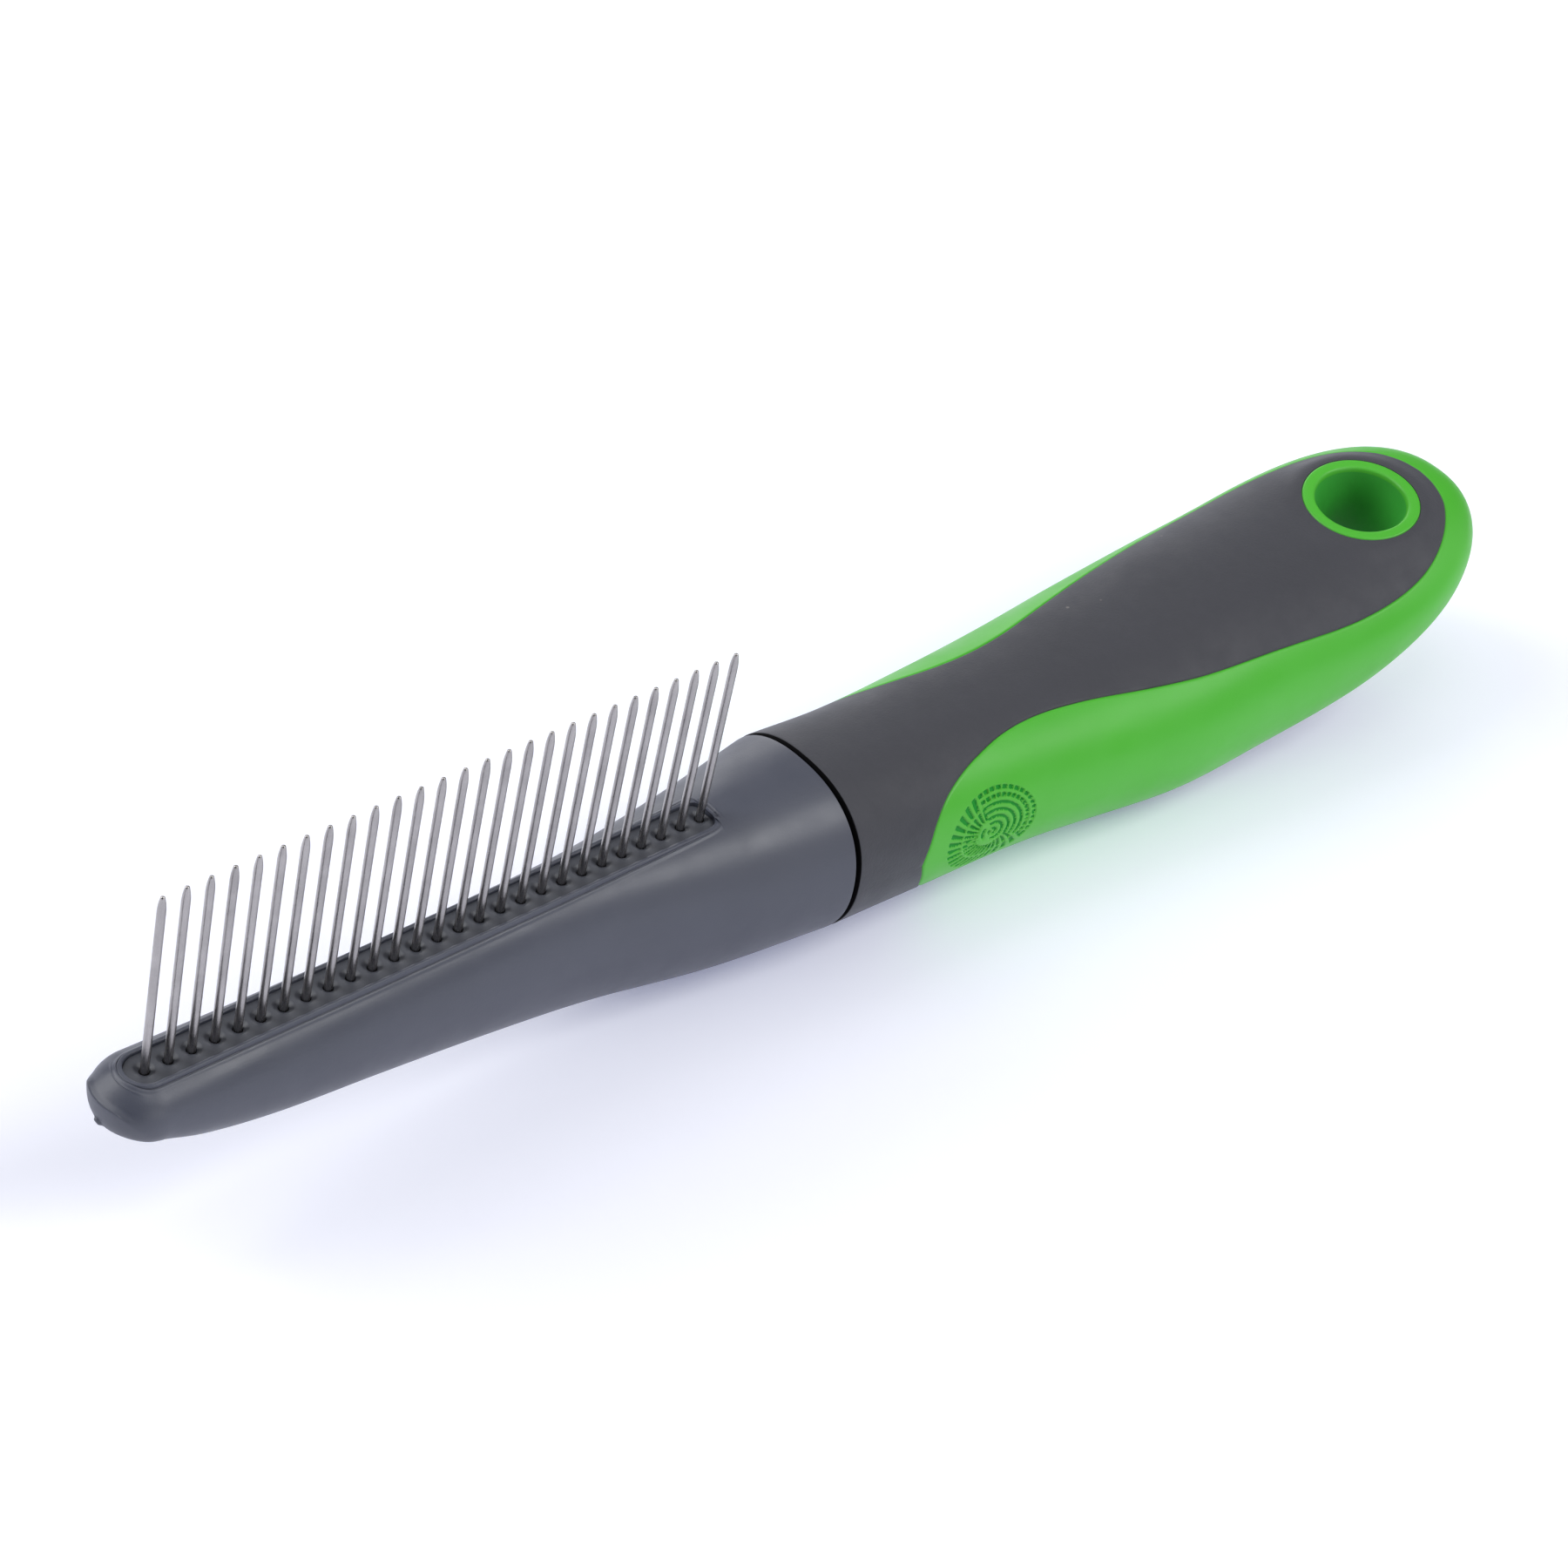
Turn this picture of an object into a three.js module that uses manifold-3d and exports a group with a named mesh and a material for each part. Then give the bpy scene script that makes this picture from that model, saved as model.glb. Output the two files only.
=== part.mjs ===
// A pet comb whose steel pins spin freely, in millimetres: +X runs from the nose of the head to the tail
// of the handle, +Y to the left, +Z up along the pins. Sizes along X are first counted from the first pin,
// and heights from the floor of the pin bed; the last group moves the comb so that its origin is on the
// surface it lies on, at the middle of its length.
import * as THREE from "three";
import { mergeVertices } from "three/addons/utils/BufferGeometryUtils.js";
import Module from "manifold-3d";

// ---- driving dimensions ----
const GAP = 0.3; // between two pieces that touch on the real comb

const PIN_COUNT = 27;
const PITCH = 2.7;
const PIN_RADIUS = 0.45;
const PIN_LENGTH = 22.4; // above the bed
const PIN_TAPER = 2.1; // length of the rounded tip
const PIN_HEAD_RADIUS = 0.95;
const PIN_HEAD_THICKNESS = 0.8;
const PIN_HEAD_DROP = 0.1; // room between a pin's head and the backing strip's gap
const BORE_RADIUS = 0.55;
const ROW_END = (PIN_COUNT - 1) * PITCH;

const RAIL_HALF_WIDTH = 1.8;
const RAIL_DEPTH = 4.4;
const POCKET_RADIUS = 1.15; // room for a pin's head
const POCKET_DEPTH = 1.3;
const DIMPLE_RADIUS = 0.98; // mouth of the hollow round each pin
const DIMPLE_DEPTH = 0.75;
const STRIP_THICKNESS = 0.8;
const CHANNEL_DEPTH = RAIL_DEPTH + STRIP_THICKNESS + 2 * GAP;
const CORING_START = 6;
const CORING_HALF_WIDTH = 1.1;
const CORING_FLOOR = 2.6; // thickness left below the coring slot
const LIP_HALF_WIDTH = 2.7;
const LIP_HEIGHT = 0.35;
const NOSE_X = -5.3;
const NOSE_START = -0.4; // the head begins to close here
const BROW_Z = -1.3; // height of the nose's front edge, seen from above and from below
const CHIN_Z = -1.9;

const SEAM_X = 85; // the head meets the handle here
const SEAM_HALF_GAP = 0.25;
const SPIGOT_RADIUS = 6.9;
const SPIGOT_WALL = 1.8;
const SPIGOT_END = 106;
const RIDGE_X = 100; // snap ridge on the spigot, and its groove in the socket
const RIDGE_HEIGHT = 0.5;
const RIDGE_HALF_LENGTH = 1.2;
const KEY_HALF_WIDTH = 1.2;
const KEY_HEIGHT = 1.1;
const NECK_BORE_START = ROW_END + 4; // the head's own hollow tapers open behind the row
const NECK_BORE_TIP_RADIUS = 2.5;
const NECK_BORE_FULL = ROW_END + 11;
const NECK_Z = -9.1; // height of the spigot's axis

const TAIL_X = 193.6;
const TAIL_LENGTH = 28.9; // over which the outline closes round
const SLEEVE_THICKNESS = 2;
const BELLY_Z = -20.55; // flat land along the underside
const CORE_PIN_END = 158; // the blind hollow in the handle ends here
const CORE_PIN_RADII = [5.6, 4.2, 2];
const HOLE_X = 178.3; // hang hole
const HOLE_Z = -5;
const HOLE_TILT = THREE.MathUtils.degToRad(8);
const HOLE_WAIST_RADIUS = 4.9;
const HOLE_MOUTH_RADIUS = 5.7;
const HOLE_FLARE = 2.5;
const RING_RADIUS = 7.25;
const RING_TOP = 8.3; // along the hole's axis from its middle
const RING_EDGE = 0.3;
const RING_LOW_POINT = [179.4, -12.6]; // x and z of the middle of the ring's lower face
const RING_LOW_TILT = THREE.MathUtils.degToRad(23);

const SECTION_POWER = 2.3; // of the superellipse that every cross-section is
const WAIST_ROUND = 0.4; // taken off that power in the lower half of the waist, which is rounder
const WAIST_START = 60; // where it begins, is full, starts to fade and ends
const WAIST_FULL = 97;
const WAIST_FADE = 115;
const WAIST_END = 140;
const SECTION_SIDES = 24;
const ROUND_SIDES = 24;
const PIN_SIDES = 8;

// The head's and the handle's cross-sections: x, half width, half height and height of the centre.
const HEAD_STATIONS = [
  [0, 4.8, 3.9, -3.55],
  [5, 4.95, 4.95, -4.6],
  [14, 5.2, 6.1, -5.75],
  [27, 5.2, 6.9, -6.55],
  [40, 5.4, 7.8, -7.4],
  [54, 6.2, 8.7, -8.35],
  [70, 8.7, 9.9, -9.35],
  [85, 11.2, 10.9, -9.1],
];
const HANDLE_STATIONS = [
  [85, 11.2, 10.9, -9.1],
  [97, 11.4, 10.6, -10],
  [111, 12.1, 10.4, -10.05],
  [124, 13.3, 10.4, -10.3],
  [138, 14.6, 10.7, -10.15],
  [151, 14.9, 10.9, -9.1],
  [165, 15.4, 9.7, -7.7],
  [177, 15.5, 7.9, -5.1],
  [193.6, 15.5, 5.8, -0.6],
];
// Edge of the soft grip on one side, seen from above: it leaves the collar, narrows at the waist and
// widens again round the hang hole.
const GRIP_EDGE = [
  [95.1, 13.5],
  [96, 11.2],
  [98.8, 9.4],
  [104, 7.4],
  [110, 6.2],
  [116, 6],
  [122.5, 6.8],
  [131, 8.6],
  [142, 10.6],
  [154, 12.3],
  [166, 13],
  [176, 12],
  [183, 9],
  [187, 5],
  [188.2, 0],
];

// ---- materials ----
const steel = new THREE.MeshStandardMaterial({ color: 0xb9b4ad, roughness: 0.28, metalness: 1 });
const headPlastic = new THREE.MeshStandardMaterial({ color: 0x555862, roughness: 0.48, metalness: 0 });
const railPlastic = new THREE.MeshStandardMaterial({ color: 0x4b4f58, roughness: 0.5, metalness: 0 });
const greenPlastic = new THREE.MeshStandardMaterial({ color: 0x5db74a, roughness: 0.38, metalness: 0 });
const softRubber = new THREE.MeshStandardMaterial({ color: 0x504f54, roughness: 0.75, metalness: 0 });

// ---- solids ----
const wasm = await Module();
wasm.setup();

function solid(geometry) {
  const bare = geometry.index ? geometry.toNonIndexed() : geometry.clone();
  bare.deleteAttribute("normal");
  bare.deleteAttribute("uv");
  const merged = mergeVertices(bare, 1e-4);
  const mesh = new wasm.Mesh({
    numProp: 3,
    vertProperties: merged.attributes.position.array,
    triVerts: new Uint32Array(merged.index.array),
  });
  return new wasm.Manifold(mesh);
}

function geometryOf(shape) {
  const { vertProperties, triVerts } = shape.getMesh();
  const geometry = new THREE.BufferGeometry();
  geometry.setAttribute("position", new THREE.BufferAttribute(vertProperties, 3));
  geometry.setIndex(new THREE.BufferAttribute(triVerts, 1));
  geometry.computeVertexNormals();
  return geometry;
}

function node(name, shape, material) {
  const mesh = new THREE.Mesh(geometryOf(shape), material);
  mesh.name = name;
  return mesh;
}

// Values between the stations on a smooth curve through them, at x.
function between(stations, x) {
  const last = stations.length - 2;
  const found = stations.findIndex((s, i) => i <= last && x <= stations[i + 1][0]);
  const i = found < 0 ? last : found;
  const [a, b] = [stations[i], stations[i + 1]];
  const before = stations[Math.max(i - 1, 0)];
  const after = stations[Math.min(i + 2, last + 1)];
  const span = b[0] - a[0];
  const t = THREE.MathUtils.clamp((x - a[0]) / span, 0, 1);
  return a.slice(1).map((value, k) => {
    const startSlope = (b[k + 1] - before[k + 1]) / (b[0] - before[0]);
    const endSlope = (after[k + 1] - value) / (after[0] - a[0]);
    const rise = b[k + 1] - value;
    const curve = 3 * t * t - 2 * t * t * t;
    const lead = t * (1 - t) * (1 - t) * startSlope * span;
    const trail = t * t * (t - 1) * endSlope * span;
    return value + rise * curve + lead + trail;
  });
}

function sectionPower(x, rise) {
  if (rise >= 0) return SECTION_POWER;
  const { smoothstep } = THREE.MathUtils;
  const faded = smoothstep(x, WAIST_FADE, WAIST_END);
  return SECTION_POWER - WAIST_ROUND * smoothstep(x, WAIST_START, WAIST_FULL) * (1 - faded);
}

function superellipse(angle, halfWidth, halfHeight, x) {
  const power = sectionPower(x, Math.sin(angle));
  const bulge = (v) => Math.sign(v) * Math.abs(v) ** (2 / power);
  return [halfWidth * bulge(Math.cos(angle)), halfHeight * bulge(Math.sin(angle))];
}

// A closed body through superellipse sections [x, half width, half height, centre height].
function loft(sections) {
  const vertices = [];
  for (const [x, halfWidth, halfHeight, centre] of sections) {
    for (let k = 0; k < SECTION_SIDES; k++) {
      const angle = (2 * Math.PI * k) / SECTION_SIDES;
      const [y, z] = superellipse(angle, halfWidth, halfHeight, x);
      vertices.push(x, y, centre + z);
    }
  }
  const faces = [];
  const corner = (row, k) => row * SECTION_SIDES + (k % SECTION_SIDES);
  const first = vertices.length / 3;
  const last = first + 1;
  for (const [x, , , centre] of [sections[0], sections.at(-1)]) vertices.push(x, 0, centre);
  for (let k = 0; k < SECTION_SIDES; k++) {
    for (let row = 0; row < sections.length - 1; row++) {
      const [a, b] = [corner(row, k), corner(row, k + 1)];
      const [c, d] = [corner(row + 1, k), corner(row + 1, k + 1)];
      faces.push(a, b, d, a, d, c);
    }
    faces.push(first, corner(0, k + 1), corner(0, k));
    faces.push(last, corner(sections.length - 1, k), corner(sections.length - 1, k + 1));
  }
  const geometry = new THREE.BufferGeometry();
  geometry.setAttribute("position", new THREE.Float32BufferAttribute(vertices, 3));
  geometry.setIndex(faces);
  return solid(geometry);
}

// Turns a profile of [radius, height] points into a solid about +Z.
function turned(profile, sides = ROUND_SIDES) {
  const points = profile.map(([radius, height]) => new THREE.Vector2(radius, height));
  return new THREE.LatheGeometry(points, sides);
}

// The same, laid along +X through the middle of the neck.
function turnedAlongX(profile, sides = ROUND_SIDES) {
  return solid(turned(profile, sides).rotateZ(-Math.PI / 2).translate(0, 0, NECK_Z));
}

// A prism of a flat outline, from one height to another.
function prism(outline, bottom, top) {
  const shape = new THREE.Shape(outline);
  const depth = top - bottom;
  return solid(new THREE.ExtrudeGeometry(shape, { depth, bevelEnabled: false }).translate(0, 0, bottom));
}

function block(from, to) {
  const size = to.map((v, i) => v - from[i]);
  const middle = to.map((v, i) => (v + from[i]) / 2);
  return solid(new THREE.BoxGeometry(...size).translate(...middle));
}

// ---- the pin bed ----
// Outline of the bed seen from above: straight sides, a round end at the nose and a blunt point behind
// the last pin.
function bedOutline(halfWidth) {
  const points = [];
  for (let k = 0; k <= 12; k++) {
    const angle = Math.PI / 2 + (Math.PI * k) / 12;
    points.push(new THREE.Vector2(halfWidth * Math.cos(angle), halfWidth * Math.sin(angle)));
  }
  points.push(new THREE.Vector2(ROW_END + 0.3, -halfWidth));
  points.push(new THREE.Vector2(ROW_END + 1.2 * halfWidth, -0.3 * halfWidth));
  points.push(new THREE.Vector2(ROW_END + 1.2 * halfWidth, 0.3 * halfWidth));
  points.push(new THREE.Vector2(ROW_END + 0.3, halfWidth));
  return points;
}

// A lathe turns about three.js's +Y; this stands the result up along +Z.
function uprightTurned(profile, sides) {
  return solid(turned(profile, sides).rotateX(Math.PI / 2));
}

function makePin(index) {
  const headBottom = -RAIL_DEPTH + PIN_HEAD_DROP;
  const headTop = headBottom + PIN_HEAD_THICKNESS;
  const taperStart = PIN_LENGTH - PIN_TAPER;
  const profile = [
    [0, headBottom],
    [PIN_HEAD_RADIUS, headBottom],
    [PIN_HEAD_RADIUS, headTop],
    [PIN_RADIUS, headTop],
    [PIN_RADIUS, taperStart],
    [0.84 * PIN_RADIUS, taperStart + 0.55 * PIN_TAPER],
    [0.56 * PIN_RADIUS, PIN_LENGTH - 0.2],
    [0, PIN_LENGTH],
  ];
  const name = "pin_" + String(index + 1).padStart(2, "0");
  const pin = node(name, uprightTurned(profile, PIN_SIDES), steel);
  pin.position.x = index * PITCH;
  return pin;
}

function makeRail() {
  let rail = prism(bedOutline(RAIL_HALF_WIDTH), -RAIL_DEPTH, 0);
  const reach = 0.5;
  const cutter = uprightTurned(
    [
      [0, -RAIL_DEPTH - reach],
      [POCKET_RADIUS, -RAIL_DEPTH - reach],
      [POCKET_RADIUS, -RAIL_DEPTH + POCKET_DEPTH],
      [BORE_RADIUS, -RAIL_DEPTH + POCKET_DEPTH],
      [BORE_RADIUS, -DIMPLE_DEPTH],
      [DIMPLE_RADIUS, 0],
      [DIMPLE_RADIUS, reach],
      [0, reach],
    ],
    PIN_SIDES,
  );
  for (let i = 0; i < PIN_COUNT; i++) rail = rail.subtract(cutter.translate([i * PITCH, 0, 0]));
  return node("pin_rail", rail, railPlastic);
}

function makeBackingStrip() {
  const top = -RAIL_DEPTH - GAP;
  return node("backing_strip", prism(bedOutline(RAIL_HALF_WIDTH), top - STRIP_THICKNESS, top), steel);
}

// ---- the head ----
// The nose closes round in plan, while its brow slopes down and its chin rises to a low front edge.
function noseSection(turn) {
  const angle = THREE.MathUtils.degToRad(turn);
  const round = Math.sin(angle);
  const x = NOSE_START + (NOSE_X - NOSE_START) * Math.cos(angle);
  const [halfWidth, halfHeight, centre] = between(HEAD_STATIONS, NOSE_START);
  const top = THREE.MathUtils.lerp(BROW_Z, centre + halfHeight, round);
  const bottom = THREE.MathUtils.lerp(CHIN_Z, centre - halfHeight, round ** 0.9);
  return [x, halfWidth * round, (top - bottom) / 2, (top + bottom) / 2];
}

function headSections() {
  const sections = [3, 12, 24, 38, 54, 72, 90].map(noseSection);
  const end = SEAM_X - SEAM_HALF_GAP;
  for (let x = 5; x < end; x += 5) sections.push([x, ...between(HEAD_STATIONS, x)]);
  sections.push([end, ...between(HEAD_STATIONS, end)]);
  return sections;
}

function spigotSolid(clearance) {
  const radius = SPIGOT_RADIUS + clearance;
  const ridge = radius + RIDGE_HEIGHT;
  const end = SPIGOT_END + clearance;
  const half = RIDGE_HALF_LENGTH + clearance;
  const rod = turnedAlongX([
    [0, SEAM_X - 4],
    [radius, SEAM_X - 4],
    [radius, RIDGE_X - half],
    [ridge, RIDGE_X - 0.4 * half],
    [ridge, RIDGE_X + 0.4 * half],
    [radius, RIDGE_X + half],
    [radius, end - 1],
    [radius - 1, end],
    [0, end],
  ]);
  const width = KEY_HALF_WIDTH + clearance;
  const drop = NECK_Z - radius;
  const keyEnd = SPIGOT_END - 3 + clearance;
  const key = block([SEAM_X - 2, -width, drop - KEY_HEIGHT], [keyEnd, width, drop + 1.5]);
  return rod.add(key);
}

// A narrow slot under the channel, which keeps the head's walls about equally thick.
function coringSlot() {
  const top = -CHANNEL_DEPTH + 0.2;
  const end = ROW_END - 3;
  const outline = [new THREE.Vector2(CORING_START, top)];
  for (let k = 0; k <= 6; k++) {
    const x = THREE.MathUtils.lerp(CORING_START, end, k / 6);
    const [, halfHeight, centre] = between(HEAD_STATIONS, x);
    outline.push(new THREE.Vector2(x, centre - halfHeight + CORING_FLOOR));
  }
  outline.push(new THREE.Vector2(end, top));
  const shape = new THREE.Shape(outline.reverse());
  const depth = 2 * CORING_HALF_WIDTH;
  const slab = new THREE.ExtrudeGeometry(shape, { depth, bevelEnabled: false });
  return solid(slab.rotateX(Math.PI / 2).translate(0, CORING_HALF_WIDTH, 0));
}

function makeHeadShell() {
  const lip = prism(bedOutline(LIP_HALF_WIDTH), -2, LIP_HEIGHT);
  const channel = prism(bedOutline(RAIL_HALF_WIDTH + GAP), -CHANNEL_DEPTH, LIP_HEIGHT + 1);
  const bore = SPIGOT_RADIUS - SPIGOT_WALL;
  const hollow = turnedAlongX([
    [0, NECK_BORE_START],
    [NECK_BORE_TIP_RADIUS, NECK_BORE_START],
    [bore, NECK_BORE_FULL],
    [bore, SPIGOT_END + 1],
    [0, SPIGOT_END + 1],
  ]);
  const outside = loft(headSections()).add(lip).add(spigotSolid(0));
  const shell = outside.subtract(channel).subtract(coringSlot()).subtract(hollow);
  return node("head_shell", shell, headPlastic);
}

// ---- the handle ----
// The handle's outer surface, moved in by the inset.
function handleSolid(inset) {
  const start = SEAM_X + SEAM_HALF_GAP;
  const roundStart = TAIL_X - TAIL_LENGTH;
  const sections = [];
  const add = (x) => {
    const [halfWidth, halfHeight, centre] = between(HANDLE_STATIONS, x);
    const t = THREE.MathUtils.clamp((x - roundStart) / TAIL_LENGTH, 0, 0.9995);
    const plan = (1 - t ** 2.7) ** (1 / 2.16);
    const side = (1 - t ** 6) ** 0.4;
    const width = halfWidth * plan - inset;
    const height = halfHeight * side - inset;
    if (width > 0.05 && height > 0.05) sections.push([x, width, height, centre]);
  };
  for (let k = 0; k <= 11; k++) add(start + ((roundStart - start) * k) / 11);
  for (let k = 1; k <= 10; k++) add(TAIL_X - TAIL_LENGTH * (1 - k / 10) ** 1.8);
  return loft(sections);
}

// The soft grip's area seen from above, made larger all round by the clearance.
function gripOutline(clearance) {
  const curve = new THREE.SplineCurve(GRIP_EDGE.map(([x, y]) => new THREE.Vector2(x, y)));
  const count = 30;
  const side = [];
  for (let k = 0; k < count; k++) {
    const point = curve.getPoint(k / count);
    const along = curve.getTangent(k / count);
    side.push(new THREE.Vector2(point.x - along.y * clearance, point.y + along.x * clearance));
  }
  const tip = new THREE.Vector2(GRIP_EDGE.at(-1)[0] + clearance, 0);
  const mirrored = side.map((p) => new THREE.Vector2(p.x, -p.y)).reverse();
  const beyond = 20;
  const corners = [new THREE.Vector2(SEAM_X - 5, -beyond), new THREE.Vector2(SEAM_X - 5, beyond)];
  const shoulder = side[0].x;
  const out = [new THREE.Vector2(shoulder, beyond), ...side, tip, ...mirrored];
  return [...corners, ...out, new THREE.Vector2(shoulder, -beyond)].reverse();
}

function gripPrism(clearance) {
  return prism(gripOutline(clearance), -40, 30);
}

// A solid turned about the hang hole's own tilted axis.
function aboutHole(profile) {
  const upright = turned(profile).rotateX(Math.PI / 2);
  return solid(upright.rotateY(-HOLE_TILT).translate(HOLE_X, 0, HOLE_Z));
}

// The eyelet: flat on top, with a lower face that slopes with the handle's underside.
function ringSolid() {
  const below = -RING_TOP - 5;
  const rod = aboutHole([
    [0, below],
    [RING_RADIUS, below],
    [RING_RADIUS, RING_TOP - RING_EDGE],
    [RING_RADIUS - RING_EDGE, RING_TOP],
    [0, RING_TOP],
  ]);
  const [nx, nz] = [-Math.sin(RING_LOW_TILT), Math.cos(RING_LOW_TILT)];
  const [x, z] = RING_LOW_POINT;
  return rod.trimByPlane([nx, 0, nz], nx * x + nz * z);
}

function makeCore() {
  const past = RING_TOP + 5;
  const hole = aboutHole([
    [0, -past],
    [HOLE_WAIST_RADIUS, -past],
    [HOLE_WAIST_RADIUS, 0],
    [HOLE_WAIST_RADIUS + 0.3, RING_TOP - HOLE_FLARE],
    [HOLE_MOUTH_RADIUS, RING_TOP],
    [HOLE_MOUTH_RADIUS, past],
    [0, past],
  ]);
  const [wide, narrow, tip] = CORE_PIN_RADII;
  const hollow = turnedAlongX([
    [0, SPIGOT_END - 2],
    [wide, SPIGOT_END - 2],
    [narrow, CORE_PIN_END - 3],
    [tip, CORE_PIN_END],
    [0, CORE_PIN_END],
  ]);
  const panels = handleSolid(0).subtract(gripPrism(GAP));
  const underGrip = handleSolid(SLEEVE_THICKNESS + GAP);
  const full = panels.add(underGrip).add(ringSolid());
  const core = full.subtract(spigotSolid(GAP)).subtract(hollow).subtract(hole);
  return node("handle_core", core, greenPlastic);
}

function makeSleeve() {
  const past = RING_TOP + 5;
  const room = RING_RADIUS + GAP;
  const ringRoom = aboutHole([
    [0, -past],
    [room, -past],
    [room, past],
    [0, past],
  ]);
  const belowBelly = block([SEAM_X - 10, -30, BELLY_Z - 20], [TAIL_X + 10, 30, BELLY_Z]);
  const outer = handleSolid(0).intersect(gripPrism(0)).subtract(belowBelly);
  const sleeve = outer.subtract(handleSolid(SLEEVE_THICKNESS)).subtract(ringRoom);
  return node("grip_sleeve", sleeve, softRubber);
}

// ---- the comb ----
const comb = new THREE.Group();
comb.add(makeHeadShell(), makeRail(), makeBackingStrip(), makeCore(), makeSleeve());
for (let i = 0; i < PIN_COUNT; i++) comb.add(makePin(i));
comb.position.set(-(NOSE_X + TAIL_X) / 2, 0, -BELLY_Z);

const tool = new THREE.Group();
tool.add(comb);

export default tool;
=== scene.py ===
"""A pet comb with spinning steel pins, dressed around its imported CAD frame.

Shapes are worked out in millimetres from the foot of the first pin: x towards the tail, y to the left,
z up along the pins. place() turns them into the frame's metres.
"""

import math

import bmesh
import bpy
import numpy as np
from mathutils import Matrix, Vector, kdtree


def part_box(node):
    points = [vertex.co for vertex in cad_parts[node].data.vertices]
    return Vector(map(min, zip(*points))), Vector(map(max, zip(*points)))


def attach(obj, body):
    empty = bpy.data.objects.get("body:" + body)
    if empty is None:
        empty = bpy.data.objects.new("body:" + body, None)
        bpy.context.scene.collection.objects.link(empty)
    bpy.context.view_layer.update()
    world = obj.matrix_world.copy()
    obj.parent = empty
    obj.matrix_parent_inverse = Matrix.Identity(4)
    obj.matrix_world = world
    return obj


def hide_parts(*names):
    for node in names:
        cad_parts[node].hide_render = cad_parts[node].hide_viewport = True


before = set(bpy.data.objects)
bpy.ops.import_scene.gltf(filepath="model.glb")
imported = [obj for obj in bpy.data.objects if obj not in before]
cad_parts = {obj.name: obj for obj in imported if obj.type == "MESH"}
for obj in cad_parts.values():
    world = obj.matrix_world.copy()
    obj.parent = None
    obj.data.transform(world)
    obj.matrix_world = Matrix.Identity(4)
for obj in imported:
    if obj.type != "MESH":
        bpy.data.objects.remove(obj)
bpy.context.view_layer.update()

MM = 0.001
BODY = "comb"
PIN_NAMES = sorted(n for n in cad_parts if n.startswith("pin_") and n != "pin_rail")


def middle(node):
    low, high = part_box(node)
    return (low + high) / 2


FIRST_PIN = Vector((middle(PIN_NAMES[0]).x, 0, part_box("pin_rail")[1].z))
ROW_END = (middle(PIN_NAMES[-1]).x - FIRST_PIN.x) / MM
PITCH = ROW_END / (len(PIN_NAMES) - 1)
PIN_LENGTH = (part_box(PIN_NAMES[0])[1].z - FIRST_PIN.z) / MM
TAIL_X = (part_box("handle_core")[1].x - FIRST_PIN.x) / MM
FLOOR_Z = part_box("grip_sleeve")[0].z

# ---- sizes of the comb in millimetres; most are the CAD source's ----
SECTION_POWER = 2.3  # of the superellipse that every section is
WAIST_ROUND = 0.4  # how much lower the power is under the waist
WAIST_START, WAIST_FULL, WAIST_FADE, WAIST_END = 60, 97, 115, 140
# Sections of the head and the handle: x, half the width, half the height, height of the middle.
HEAD_STATIONS = [
    (0, 4.95, 3.82, -3.47),
    (5, 5.15, 4.88, -4.53),
    (14, 5.2, 6.0, -5.65),
    (27, 5.2, 6.9, -6.55),
    (40, 5.4, 7.8, -7.4),
    (54, 6.2, 8.7, -8.35),
    (70, 8.7, 9.9, -9.35),
    (85, 11.2, 10.9, -9.1),
]
HANDLE_STATIONS = [
    (85, 11.2, 10.9, -9.1),
    (97, 11.4, 10.6, -10.0),
    (111, 12.1, 10.4, -10.05),
    (124, 13.3, 10.4, -10.3),
    (138, 14.6, 10.7, -10.15),
    (151, 14.9, 10.9, -9.1),
    (165, 15.4, 9.7, -7.7),
    (177, 15.5, 7.9, -5.1),
    (193.6, 15.5, 5.8, -0.6),
]
# Edge of the soft grip: x, and the angle from the top of the section, in degrees.
GRIP_EDGE = [
    (95.3, 90),
    (95.6, 84),
    (96.8, 67),
    (98.8, 53),
    (101.5, 43),
    (104.8, 35.5),
    (110, 28),
    (116, 25.3),
    (122.5, 27.5),
    (131, 34.5),
    (142, 43),
    (154, 50),
    (166, 54),
    (176, 52),
    (182, 43),
    (186.3, 27),
    (187.8, 11),
    (188.2, 0),
]
GRIP_START, GRIP_END = GRIP_EDGE[0][0], GRIP_EDGE[-1][0]
SEAM_X = 85
SEAM_HALF_GAP = 0.36
SEAM_FLOOR = 0.9  # size of the step that floors the seam, as a share of the section
FLOOR_CLEARANCE = 0.03  # how far the step stays short of the grip
SEAM_HALF_HEIGHT = 11  # about that of the section there
HEAD_ROLL, HEAD_ROLL_DROP = 0.12, 0.1  # rounded edges at the seam: length and depth
GRIP_ROLL, GRIP_ROLL_DROP = 0.15, 0.12
HEAD_ROLL_STOPS = np.array([0, 0.02, 0.09, 0.2, 0.35, 0.55, 0.8, 1])  # shares of those lengths
GRIP_ROLL_STOPS = np.array([0, 0.02, 0.08, 0.18, 0.33, 0.55, 0.8, 1])
GRIP_EDGE_WIDTH, GRIP_EDGE_DROP = 0.35, 0.16  # rounded edges where the grip and the green meet
CORE_EDGE_WIDTH, CORE_EDGE_DROP = 0.4, 0.24
SPIGOT_RADIUS = 6.9
SPIGOT_END = 106
NECK_Z = -9.1
TAIL_LENGTH = 28.9
TAIL_WIDTH_FALL, TAIL_WIDTH_ROUND = 2.7, 2.16  # powers of the outline that closes the tail
TAIL_HEIGHT_FALL, TAIL_HEIGHT_ROUND = 6, 0.4
CORE_THICKNESS, SLEEVE_THICKNESS = 2, 1.9
HOLE_X, HOLE_Z = 178.3, -5
HOLE_TILT = math.radians(8)
RING_RADIUS = 7.25
RING_CLEARANCE = 0.03
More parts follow.
